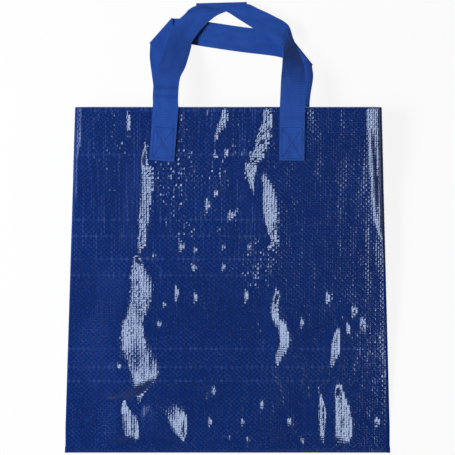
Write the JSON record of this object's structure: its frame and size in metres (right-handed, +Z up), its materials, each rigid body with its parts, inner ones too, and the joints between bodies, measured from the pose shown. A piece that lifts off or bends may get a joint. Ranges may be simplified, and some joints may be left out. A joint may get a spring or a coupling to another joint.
{
  "type": "woven shopping bag",
  "caption": "Flat woven plastic shopping bag lying on its back, open at the mouth and sewn shut at the bottom, with webbing carrying handles.",
  "frame": {"origin": "on the resting plane, under the middle of the body's back panel", "axes": "+Y from the sewn bottom to the mouth, +Z up out of the front panel, +X to the right seen from the front"},
  "size_m": [0.3248, 0.4502, 0.0419],
  "materials": {
    "laminated_weave": "navy blue woven tape fabric under a glossy clear film",
    "webbing": "royal blue ribbed webbing, matt",
    "sewing_thread": "blue sewing thread"
  },
  "bodies": {
    "root": {"bag_body": "laminated_weave", "front_handle": "webbing", "back_handle": "webbing", "front_left_stitching": "sewing_thread", "front_right_stitching": "sewing_thread", "back_left_stitching": "sewing_thread", "back_right_stitching": "sewing_thread", "bottom_seam_stitching": "sewing_thread"}
  },
  "joints": []
}
